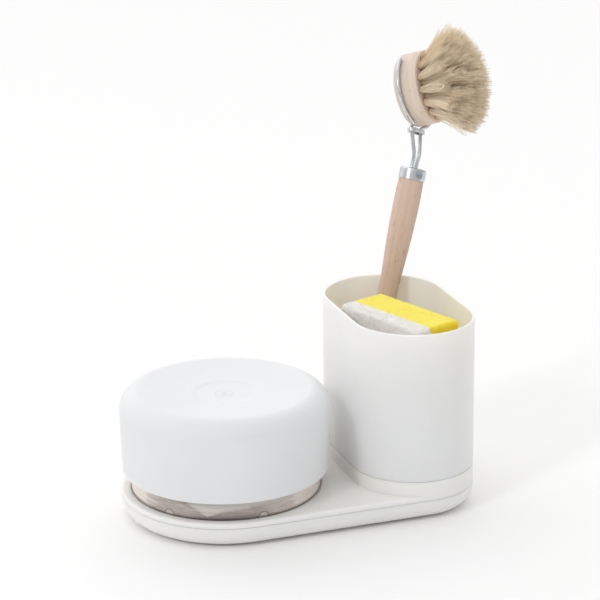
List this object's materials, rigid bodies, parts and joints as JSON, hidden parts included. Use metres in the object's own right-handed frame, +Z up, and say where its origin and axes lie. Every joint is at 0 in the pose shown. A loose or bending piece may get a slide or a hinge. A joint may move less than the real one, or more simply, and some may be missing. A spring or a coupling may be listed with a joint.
{
  "type": "dish soap dispenser caddy",
  "caption": "Press-top dish soap dispenser standing beside an open stadium cup on one tray, with a wooden dish brush and a scouring sponge kept in the cup.",
  "frame": {"origin": "On the resting plane, in the middle of the foot pad that lies under the dispenser's vertical axis.", "axes": "Z up; X from the dispenser's axis to the middle of the cup; Y away from the viewer, completing a right-handed frame."},
  "size_m": [0.2369, 0.1469, 0.2429],
  "materials": {
    "tray_shell": "smooth satin white plastic",
    "tray_top": "smooth satin white plastic",
    "foot_rubber": "pale grey soft rubber",
    "jar_clear": "clear greyish plastic",
    "jar_foot": "clear soft feet",
    "lid_plastic": "matte white plastic",
    "seal_rubber": "pale grey seal",
    "pump_clear": "milky moulded plastic",
    "valve_plastic": "milky moulded plastic",
    "ball_glass": "polished ball",
    "piston_plastic": "matte white plastic",
    "piston_rubber": "dark seal",
    "spring_steel": "bright spring steel",
    "carrier_plastic": "matte white plastic",
    "cap_plastic": "fine matte white plastic",
    "nozzle_silicone": "soft white silicone",
    "cup_plastic": "smooth satin white plastic, warmer inside",
    "handle_wood": "oiled beech with fine flecks",
    "ferrule_metal": "galvanised sheet",
    "wire_metal": "galvanised wire",
    "ring_metal": "galvanised wire",
    "head_wood": "unfinished turned beech",
    "bristle_fibre": "natural cream fibre",
    "sponge_yellow": "open cell foam",
    "sponge_white": "short fibre scouring layer"
  },
  "bodies": {
    "tray": {"tray_base": "tray_shell", "tray_deck": "tray_top", "foot_pads": "foot_rubber"},
    "jar": {"jar": "jar_clear", "jar_feet": "jar_foot"},
    "pump_unit": {"pump_lid": "lid_plastic", "lid_seal": "seal_rubber", "pump_cylinder": "pump_clear", "valve_cage": "valve_plastic", "return_spring": "spring_steel"},
    "ball": {"check_ball": "ball_glass"},
    "cap": {"press_cap": "cap_plastic", "cap_carrier": "carrier_plastic", "nozzle": "nozzle_silicone", "piston": "piston_plastic", "piston_seal": "piston_rubber"},
    "cup": {"cup": "cup_plastic"},
    "brush": {"brush_handle": "handle_wood", "handle_ferrule": "ferrule_metal", "wire_fork": "wire_metal", "brush_head": "head_wood", "bristle_tufts": "bristle_fibre"},
    "ring": {"clamp_ring": "ring_metal"},
    "sponge": {"sponge_foam": "sponge_yellow", "sponge_scourer": "sponge_white"}
  },
  "joints": [
    {"name": "jar_lift", "type": "slide", "parent": "tray", "child": "jar", "axis": [0, 0, 1], "range_m": [0, 0.06]},
    {"name": "lid_lift", "type": "slide", "parent": "jar", "child": "pump_unit", "axis": [0, 0, 1], "range_m": [0, 0.05]},
    {"name": "ball_lift", "type": "slide", "parent": "pump_unit", "child": "ball", "axis": [0, 0, 1], "range_m": [0, 0.0012]},
    {"name": "press", "type": "slide", "parent": "pump_unit", "child": "cap", "axis": [0, 0, -1], "range_m": [0, 0.006], "stiffness_N_per_m": 600, "springref_m": -0.006, "deforming": ["return_spring"]},
    {"name": "cup_lift", "type": "slide", "parent": "tray", "child": "cup", "axis": [0, 0, 1], "range_m": [0, 0.05]},
    {"name": "brush_lift", "type": "slide", "parent": "cup", "child": "brush", "axis": [0.2999, 0.2163, 0.9291], "range_m": [0, 0.1]},
    {"name": "ring_slide", "type": "slide", "parent": "brush", "child": "ring", "axis": [-0.127, -0.4101, -0.9031], "range_m": [0, 0.009]},
    {"name": "sponge_lift", "type": "slide", "parent": "cup", "child": "sponge", "axis": [0, 0, 1], "range_m": [0, 0.09]}
  ]
}
